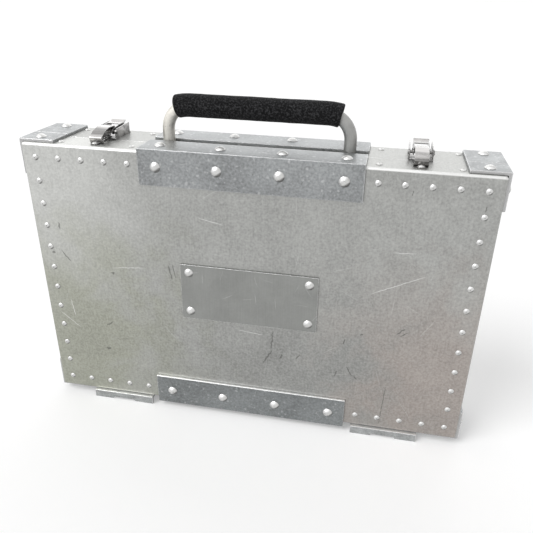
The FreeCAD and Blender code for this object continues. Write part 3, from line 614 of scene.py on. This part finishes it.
def plate_material(name, finishes):
    """The plate on the panel: brushed up and down, lightly scratched, its rim rubbed bright."""
    material, web, shader = new_metal(name)
    plane = web.use("Face plane").outputs[0]
    clouds = web.use("Mill clouding", vector=plane, patch=0.03, mottle=0.0025).outputs
    grain = web.use("Drawn grain", vector=plane, across=1100.0, along=30.0).outputs[0]
    nicks = web.use("Scratches", vector=plane, cell=0.02, length=0.42, width=0.013, amount=0.6).outputs[0]
    edge = web.use("Edge wear", vector=plane, radius=0.0006, amount=1.0).outputs
    dirt_and_shade = web.use("Grime", vector=plane, reach=0.003).outputs[0]

    shades = total(web, (clouds["Broad"], 0.06), (clouds["Fine"], 0.05), (grain, 0.07))
    base = varied(web, finishes.plate, shades)
    base = web.mix(web.math("MULTIPLY", nicks, 0.5), base, grey(0.8))
    # Dirt and painted shade where the plate is shut in
    base = darkened(web, base, finishes, dirt_and_shade, 0.6)
    base = web.mix(edge["Mask"], base, grey(0.95))

    rough = about(web, 0.40, (clouds["Fine"], 0.05), (grain, 0.04), (edge["Mask"], -0.12))
    height = total(web, (grain, 0.5), (clouds["Fine"], 0.3), (nicks, -1.0))
    surface(web, shader, base, rough, height, 0.05 * MM, edge["Normal"])
    return material


def rivet_material(name, finishes):
    """Soft aluminium rivets: bright, dented by the tool, with dirt and painted shade at the rim and in the
    dimple, and on the panels a painted highlight at the upper left of each head and painted shade at its
    lower right.
    """
    material, web, shader = new_metal(name)
    place = web.coordinates()
    clouds = web.use("Mill clouding", vector=place, patch=0.012, mottle=0.0016).outputs
    pits = web.use("Speckle", vector=place, spacing=0.0032, size=0.34, amount=0.28).outputs[0]
    dirt_and_shade = web.use("Grime", vector=place, reach=0.0014).outputs[0]
    edge = web.use("Edge wear", vector=place, radius=0.0003, amount=0.5).outputs
    shade = web.use("Head light and shade").outputs

    base = varied(web, finishes.rivet, total(web, (clouds["Broad"], 0.06), (clouds["Fine"], 0.08)))
    # Painted highlight on the upper left of the head
    base = web.mix(web.math("MULTIPLY", shade["Rubbed"], 0.55), base, grey(0.92))
    # Painted shade on the lower right of the head
    base = darkened(web, base, finishes, shade["Sheltered"], 0.8)
    # Pits, and dirt and painted shade where the head is shut in
    base = web.mix(total(web, (pits, 0.55), (dirt_and_shade, 0.75)), base, rgba(finishes.grime))
    base = web.mix(edge["Mask"], base, grey(0.92))

    rough = about(web, 0.40, (clouds["Fine"], 0.05), (dirt_and_shade, 0.2), (edge["Mask"], -0.1))
    height = total(web, (clouds["Fine"], 0.8), (pits, -1.0))
    surface(web, shader, base, rough, height, 0.06 * MM, edge["Normal"])
    return material


def bar_material(name, finishes):
    """The handle's bar: satin, drawn along its length, with rubs and dark nicks, dirt and painted shade where
    it is shut in, and a painted highlight that makes its left upright paler.
    """
    material, web, shader = new_metal(name)
    place = web.coordinates()
    clouds = web.use("Mill clouding", vector=place, patch=0.016, mottle=0.0022).outputs
    fine = web.vector("MULTIPLY", place, (900.0, 900.0, 60.0))
    drawn = web.fit(web.noise(fine, 1.0, 2.0), 0.25, 0.75, -1.0, 1.0)
    pits = web.use("Speckle", vector=place, spacing=0.005, size=0.3, amount=0.35).outputs[0]
    dirt_and_shade = web.use("Grime", vector=place, reach=0.004).outputs[0]

    # The left upright made paler: a painted highlight
    leftward = web.fit(web.split(place)["X"], 0.07, -0.07)
    base = web.mix(leftward, rgba(finishes.bar), rgba(finishes.bar_painted_light))
    base = varied(web, base, total(web, (clouds["Broad"], 0.10), (clouds["Fine"], 0.07), (drawn, 0.05)))
    # Pits, and dirt and painted shade where the bar is shut in
    base = web.mix(total(web, (pits, 0.35), (dirt_and_shade, 0.6)), base, rgba(finishes.grime))

    rough = about(web, 0.42, (clouds["Fine"], 0.06), (clouds["Broad"], 0.05), (dirt_and_shade, 0.2))
    height = total(web, (drawn, 0.3), (clouds["Fine"], 0.8), (pits, -1.0))
    surface(web, shader, base, rough, height, 0.08 * MM)
    return material


def chrome_material(name, finishes):
    """Plated latch parts: nearly smooth, with painted reflections in bands, hairlines, smudges, and dirt and
    painted shade, nearly black, in the folds.
    """
    material, web, shader = new_metal(name)
    place = web.coordinates()
    plane = web.use("Face plane").outputs[0]
    smudge = web.use("Mill clouding", vector=place, patch=0.011, mottle=0.0018).outputs
    hairs = web.use("Scratches", vector=plane, cell=0.006, length=0.45, width=0.025, amount=0.7).outputs[0]
    edge = web.use("Edge wear", vector=place, radius=0.00035, amount=0.7).outputs
    dirt_and_shade = web.use("Grime", vector=place, reach=0.009).outputs[0]
    # Bands of painted reflection, lighter and darker, over the latch parts
    painted_reflection_bands = web.vector("MULTIPLY", place, (9.0, 120.0, 150.0))
    painted_reflection_bands = web.fit(web.noise(painted_reflection_bands, 1.0, 2.0, 0.5, 0.2), 0.38, 0.62, -1.0, 1.0, smooth=True)

    shades = total(web, (painted_reflection_bands, 0.42), (smudge["Broad"], 0.06), (smudge["Fine"], 0.03))
    base = varied(web, finishes.chrome, shades)
    # Dirt and painted shade, nearly black, where the latch is shut in
    base = web.mix(web.math("MULTIPLY", dirt_and_shade, 0.95, clamp=True), base, (0.02, 0.018, 0.015, 1.0))
    base = web.mix(edge["Mask"], base, grey(0.95))

    rough = about(web, 0.15, (smudge["Broad"], 0.05), (smudge["Fine"], 0.03), (hairs, 0.12), (dirt_and_shade, 0.25))
    height = total(web, (smudge["Broad"], 0.6), (hairs, -0.5))
    surface(web, shader, base, rough, height, 0.05 * MM, edge["Normal"])
    return material


def zinc_material(name, finishes):
    """Zinc plate on the hinges and nuts: dull and patchy, with dirt and painted shade in the knuckles."""
    material, web, shader = new_metal(name)
    place = web.coordinates()
    patches = web.use("Mill clouding", vector=place, patch=0.009, mottle=0.0014).outputs
    flecks = web.use("Speckle", vector=place, spacing=0.0024, size=0.4, amount=0.35).outputs[0]
    edge = web.use("Edge wear", vector=place, radius=0.0004, amount=0.8).outputs
    dirt_and_shade = web.use("Grime", vector=place, reach=0.003).outputs[0]

    base = varied(web, finishes.zinc, total(web, (patches["Broad"], 0.12), (patches["Fine"], 0.08)))
    base = web.mix(web.math("MULTIPLY", flecks, 0.25), base, (0.8, 0.8, 0.78, 1.0))
    # Dirt and painted shade where the plating is shut in
    base = darkened(web, base, finishes, dirt_and_shade, 0.7)
    base = web.mix(edge["Mask"], base, grey(0.9))

    rough = about(web, 0.36, (patches["Broad"], 0.07), (patches["Fine"], 0.05), (dirt_and_shade, 0.2))
    surface(web, shader, base, rough, patches["Fine"], 0.05 * MM, edge["Normal"])
    return material


def foam_material(name, finishes):
    """Closed-cell foam: black, with fine pores and the painted glints of their rims."""
    material, web, shader = new_material(name)
    place = web.coordinates()
    crumbs = web.noise(place, 560.0, 3.0, 0.7)
    pores = web.add("ShaderNodeTexVoronoi", {"Vector": place, "Scale": 950.0}).outputs["Distance"]
    painted_glints = web.use("Speckle", vector=place, spacing=0.0016, size=0.42, amount=0.3).outputs[0]
    dust = web.fit(web.noise(place, 60.0, 4.0, 0.6), 0.4, 0.75)

    base = web.mix(web.fit(crumbs, 0.47, 0.66), rgba(finishes.foam), rgba(finishes.foam_rims))
    # Painted glints on the rims of the pores
    base = web.mix(web.math("MULTIPLY", painted_glints, 0.35), base, (0.10, 0.10, 0.105, 1.0))
    base = web.mix(web.math("MULTIPLY", dust, 0.04), base, grey(0.12))

    rough = web.fit(crumbs, 0.3, 0.7, 0.78, 0.96)
    height = total(web, (crumbs, 1.0), (web.fit(pores, 0.0, 0.5), 0.5))
    surface(web, shader, base, rough, height, 0.6 * MM)
    shader.inputs["Specular IOR Level"].default_value = 0.15
    shader.inputs["Sheen Weight"].default_value = 0.05
    shader.inputs["Sheen Roughness"].default_value = 0.5
    return material


def case_nodes(*words):
    """The nodes of the case whose names hold one of the words."""
    found = [node for name, node in sorted(frame["nodes"].items()) if any(word in name for word in words)]
    if not found:
        raise RuntimeError(f"the case has no node named after {words}")
    return found


def finish_with(material, nodes):
    for node in nodes:
        for slot in node.material_slots:
            slot.material = material


class SAMPLECASE_OT_effects(bpy.types.Operator):
    """Build the node groups that the materials share"""

    bl_idname = "samplecase.effects"
    bl_label = "Shared effects"

    def execute(self, context):
        for build_group in GROUPS:
            build_group()
        return {"FINISHED"}


class SAMPLECASE_OT_sheets(bpy.types.Operator):
    """Finish the two folded sheets and the angles inside them"""

    bl_idname = "samplecase.sheets"
    bl_label = "Sheets"

    def execute(self, context):
        finishes = context.scene.sample_case.finishes
        finish_with(sheet_material("panel_sheet", finishes, True), case_nodes("lid_tray"))
        finish_with(sheet_material("plain_sheet", finishes, False), case_nodes("body_tray", "inner_angle"))
        return {"FINISHED"}


class SAMPLECASE_OT_angles(bpy.types.Operator):
    """Finish the extruded angles, the feet and the spreader plate"""

    bl_idname = "samplecase.angles"
    bl_label = "Angles and feet"

    def execute(self, context):
        finishes = context.scene.sample_case.finishes
        upward = (0, 0, 1)
        frontward = (0, -1, 0)
        long = angle_material("long_angle", finishes, finishes.angle, 0.05, 0.0026)
        # The bottom angles: painted shade in their darker colour and a painted highlight on their top faces
        low = angle_material("low_angle", finishes, finishes.low_angle, 0.05, 0.0026, upward)
        # The corner angles: a painted highlight on their front faces
        short = angle_material("corner_angle", finishes, finishes.angle, 0.02, 0.002, frontward, 0.45)
        # The feet: a painted highlight on their top faces
        feet = angle_material("foot_angle", finishes, finishes.foot, 0.02, 0.002, upward)
        finish_with(long, case_nodes("top_angle", "spreader"))
        finish_with(low, case_nodes("bottom_angle"))
        finish_with(short, case_nodes("corner_angle"))
        finish_with(feet, case_nodes("foot_"))
        return {"FINISHED"}


class SAMPLECASE_OT_plate(bpy.types.Operator):
    """Finish the plate in the middle of the panel"""

    bl_idname = "samplecase.plate"
    bl_label = "Plate"

    def execute(self, context):
        finishes = context.scene.sample_case.finishes
        finish_with(plate_material("bare_plate", finishes), [frame["nodes"]["nameplate"]])
        return {"FINISHED"}


class SAMPLECASE_OT_rivets(bpy.types.Operator):
    """Finish every rivet"""

    bl_idname = "samplecase.rivets"
    bl_label = "Rivets"

    def execute(self, context):
        finishes = context.scene.sample_case.finishes
        finish_with(rivet_material("rivet_head", finishes), case_nodes("rivets"))
        return {"FINISHED"}


class SAMPLECASE_OT_latches(bpy.types.Operator):
    """Finish the two latches"""

    bl_idname = "samplecase.latches"
    bl_label = "Latches"

    def execute(self, context):
        finishes = context.scene.sample_case.finishes
        finish_with(chrome_material("latch_plating", finishes), case_nodes("latch_"))
        return {"FINISHED"}


class SAMPLECASE_OT_hinges(bpy.types.Operator):
    """Finish the hinges and what holds the handle inside"""

    bl_idname = "samplecase.hinges"
    bl_label = "Hinges and nuts"

    def execute(self, context):
        finishes = context.scene.sample_case.finishes
        finish_with(zinc_material("hinge_plating", finishes), case_nodes("hinge_", "washers", "nuts"))
        return {"FINISHED"}


class SAMPLECASE_OT_handle(bpy.types.Operator):
    """Finish the handle's bar and make its foam sleeve"""

    bl_idname = "samplecase.handle"
    bl_label = "Handle"

    def execute(self, context):
        settings = context.scene.sample_case
        finish_with(bar_material("handle_bar", settings.finishes), case_nodes("handle_rod"))
        sleeve = foam_sleeve(settings.grip)
        sleeve.data.materials.append(foam_material("handle_foam", settings.finishes))
        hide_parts("handle_grip")
        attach(sleeve, "body")
        return {"FINISHED"}


def parts_of(kind, found):
    """The points, edges or faces in what an operator gives back."""
    return [part for part in found if isinstance(part, kind)]


def spun_on(mesh, ring, centre, turn):
    """Sweeps a ring of edges round a bend and gives back the last ring."""
    swept = bmesh.ops.spin(mesh, geom=ring, cent=centre, axis=(0, 1, 0), angle=turn, steps=BEND_STEPS)
    return parts_of(bmesh.types.BMEdge, swept["geom_last"])


def drawn_in(point, sizes, reach, axis_y, axis_z):
    """Where a point of the sleeve's skin goes on the bore, in the same cross section."""
    shrink = sizes.bore / sizes.diameter
    y = axis_y + (point.y - axis_y) * shrink
    over = abs(point.x) - reach
    if over < SAME_POINT:
        return Vector((point.x, y, axis_z + (point.z - axis_z) * shrink))
    drop = point.z - (axis_z - sizes.droop)
    turn = math.atan2(over, drop)
    apart = sizes.droop - sizes.bend
    middle = apart * math.cos(turn) + math.sqrt(sizes.bend ** 2 - (apart * math.sin(turn)) ** 2)
    slant = math.asin(middle * math.sin(turn) / sizes.bend) - turn
    out = middle + (math.hypot(over, drop) - sizes.droop) * shrink / math.cos(slant)
    x = math.copysign(reach + out * math.sin(turn), point.x)
    return Vector((x, y, axis_z - sizes.droop + out * math.cos(turn)))


def foam_sleeve(sizes):
    """A tube swept over the straight of the bar and a little of both bends, its bore round the bar."""
    low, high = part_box("handle_grip")
    axis_z = high.z - sizes.diameter / 2
    axis_y = (low.y + high.y) / 2
    reach = sizes.span / 2 - sizes.bend
    turn = math.asin((sizes.sleeve / 2 - reach) / sizes.droop)
    left = Vector((-reach, axis_y, axis_z - sizes.droop))
    right = Vector((reach, axis_y, axis_z - sizes.droop))

    mesh = bmesh.new()
    place = Matrix.Translation((-reach, axis_y, axis_z)) @ Matrix.Rotation(math.pi / 2, 4, "Y")
    bmesh.ops.create_circle(mesh, segments=sizes.facets, radius=sizes.diameter / 2, matrix=place)
    ring = mesh.edges[:]
    bmesh.ops.rotate(mesh, verts=mesh.verts[:], cent=left, matrix=Matrix.Rotation(-turn, 3, "Y"))
    ring = spun_on(mesh, ring, left, turn)
    for _ in range(STRAIGHT_STEPS):
        pulled = bmesh.ops.extrude_edge_only(mesh, edges=ring)["geom"]
        points = parts_of(bmesh.types.BMVert, pulled)
        bmesh.ops.translate(mesh, verts=points, vec=(2 * reach / STRAIGHT_STEPS, 0, 0))
        ring = parts_of(bmesh.types.BMEdge, pulled)
    spun_on(mesh, ring, right, turn)
    bmesh.ops.remove_doubles(mesh, verts=mesh.verts[:], dist=SAME_POINT)
    bmesh.ops.recalc_face_normals(mesh, faces=mesh.faces[:])

    rims = [edge for edge in mesh.edges if edge.is_boundary]
    copied = bmesh.ops.duplicate(mesh, geom=mesh.verts[:] + mesh.edges[:] + mesh.faces[:])["geom"]
    bore = set(parts_of(bmesh.types.BMVert, copied))
    bmesh.ops.reverse_faces(mesh, faces=parts_of(bmesh.types.BMFace, copied))
    mesh.normal_update()
    for vert in mesh.verts:
        if vert in bore:
            vert.co = drawn_in(vert.co, sizes, reach, axis_y, axis_z)
        else:
            stray = noise.noise(vert.co * BROAD_BUMPS) + 0.5 * noise.noise(vert.co * FINE_BUMPS)
            vert.co += vert.normal * sizes.unevenness * (stray - 1.0)
    for sign in (-1, 1):
        loops = [edge for edge in mesh.edges if edge.is_boundary and edge.verts[0].co.x * sign > 0]
        bmesh.ops.bridge_loops(mesh, edges=loops)
    bmesh.ops.recalc_face_normals(mesh, faces=mesh.faces[:])
    bmesh.ops.bevel(
        mesh, geom=rims, offset=sizes.end_round, offset_type="OFFSET", segments=END_SEGMENTS, profile=0.5,
        affect="EDGES", material=-1, clamp_overlap=True,
    )
    for face in mesh.faces:
        face.smooth = True
    return new_object("foam_sleeve", mesh)


def new_object(name, mesh):
    """Turns a finished bmesh into an object of the scene."""
    data = bpy.data.meshes.new(name)
    mesh.to_mesh(data)
    mesh.free()
    piece = bpy.data.objects.new(name, data)
    bpy.context.scene.collection.objects.link(piece)
    return piece


class SAMPLECASE_OT_stage(bpy.types.Operator):
    """Make the floor, the lights and the camera"""

    bl_idname = "samplecase.stage"
    bl_label = "Stage"

    def execute(self, context):
        stage = context.scene.sample_case.stage
        floor = studio_floor(stage)
        keep_below_lid(floor)
        studio_sky(stage)
        sun("key_light", KEY_SIDE, stage.key, KEY_SPREAD)
        sun("back_light", BACK_SIDE, stage.back, BACK_SPREAD)
        studio_camera()
        context.scene.view_settings.view_transform = "Standard"
        return {"FINISHED"}


def seen_directly(web):
    """1 for rays from the camera, from gloss and through glass."""
    path = web.add("ShaderNodeLightPath").outputs
    seen = web.math("MAXIMUM", path["Is Camera Ray"], path["Is Glossy Ray"])
    return web.math("MAXIMUM", seen, path["Is Transmission Ray"])


def studio_floor(stage):
    """A plain pale floor. The glow that only the camera and the metal see lifts it to white."""
    mesh = bmesh.new()
    bmesh.ops.create_grid(mesh, x_segments=1, y_segments=1, size=stage.floor_size / 2)
    floor = new_object("floor", mesh)
    material, web, shader = new_material("floor_paint")
    shader.inputs["Base Color"].default_value = rgba(stage.floor)
    shader.inputs["Roughness"].default_value = 1.0
    shader.inputs["Specular IOR Level"].default_value = 0.0
    shader.inputs["Emission Color"].default_value = grey(1.0)
    web.plug(shader.inputs["Emission Strength"], web.math("MULTIPLY", seen_directly(web), stage.lift))
    floor.data.materials.append(material)
    return floor


def keep_below_lid(floor):
    """Lets the floor sink under the lid's far edge, which hangs below the feet when the lid is open."""
    low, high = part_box("lid_corner_angle_top_left")
    edge = bpy.data.objects.new("lid_far_edge", None)
    edge.parent = frame["bodies"]["lid"]
    edge.location = (0.0, low.y - LID_REACH_OUT, high.z + LID_REACH_UP)
    bpy.context.scene.collection.objects.link(edge)
    follow = floor.constraints.new("COPY_LOCATION")
    follow.target = edge
    follow.use_x = False
    follow.use_y = False
    hold = floor.constraints.new("LIMIT_LOCATION")
    hold.use_max_z = True
    hold.max_z = 0.0


def studio_sky(stage):
    """Even light from all round, which the camera and the metal see as white."""
    world = bpy.data.worlds.new("studio")
    world.use_nodes = True
    bpy.context.scene.world = world
    web = Wiring(world.node_tree)
    background = world.node_tree.nodes["Background"]
    background.inputs["Color"].default_value = grey(1.0)
    web.plug(background.inputs["Strength"], web.fit(seen_directly(web), 0.0, 1.0, stage.sky, 1.0))


def sun(name, side, strength, spread):
    """A soft light from one side, equally strong everywhere."""
    lamp = bpy.data.lights.new(name, "SUN")
    lamp.energy = strength
    lamp.angle = spread
    light = bpy.data.objects.new(name, lamp)
    light.matrix_world = Vector(side).to_track_quat("Z", "Y").to_matrix().to_4x4()
    bpy.context.scene.collection.objects.link(light)


def studio_camera():
    """The photograph's viewpoint: in front, a little to the right and above, looking down."""
    lens = bpy.data.cameras.new("camera")
    lens.sensor_width = SENSOR_MM
    lens.lens = LENS_MM
    lens.shift_x, lens.shift_y = PICTURE_SHIFT
    lens.clip_start = 0.01
    lens.clip_end = 200.0
    right = Vector(PICTURE_RIGHT)
    top = Vector(PICTURE_TOP)
    turn = Matrix((right, top, right.cross(top))).transposed().to_4x4()
    camera = bpy.data.objects.new("camera", lens)
    camera.matrix_world = Matrix.Translation(CAMERA_PLACE) @ turn
    bpy.context.scene.collection.objects.link(camera)
    bpy.context.scene.camera = camera


class SAMPLECASE_PT_panel(bpy.types.Panel):
    """Lists the operators and the settings"""

    bl_idname = "SAMPLECASE_PT_panel"
    bl_label = "Sample Case"
    bl_space_type = "VIEW_3D"
    bl_region_type = "UI"
    bl_category = "Sample Case"

    def draw(self, context):
        settings = context.scene.sample_case
        for group in (settings.finishes, settings.grip, settings.stage):
            box = self.layout.box()
            for name in group.bl_rna.properties.keys():
                if name not in ("rna_type", "name"):
                    box.prop(group, name)
        for operator in OPERATORS:
            self.layout.operator(operator.bl_idname)


OPERATORS = (
    SAMPLECASE_OT_effects, SAMPLECASE_OT_sheets, SAMPLECASE_OT_angles, SAMPLECASE_OT_plate,
    SAMPLECASE_OT_rivets, SAMPLECASE_OT_latches, SAMPLECASE_OT_hinges, SAMPLECASE_OT_handle,
    SAMPLECASE_OT_stage,
)
CLASSES = (CaseFinishes, GripSizes, StageSettings, SampleCase, *OPERATORS, SAMPLECASE_PT_panel)


def register():
    for kind in CLASSES:
        bpy.utils.register_class(kind)
    bpy.types.Scene.sample_case = PointerProperty(type=SampleCase)


def unregister():
    del bpy.types.Scene.sample_case
    for kind in reversed(CLASSES):
        bpy.utils.unregister_class(kind)


def main():
    register()
    bpy.ops.samplecase.effects()
    bpy.ops.samplecase.sheets()
    bpy.ops.samplecase.angles()
    bpy.ops.samplecase.plate()
    bpy.ops.samplecase.rivets()
    bpy.ops.samplecase.latches()
    bpy.ops.samplecase.hinges()
    bpy.ops.samplecase.handle()
    bpy.ops.samplecase.stage()


if __name__ == "__main__":
    main()
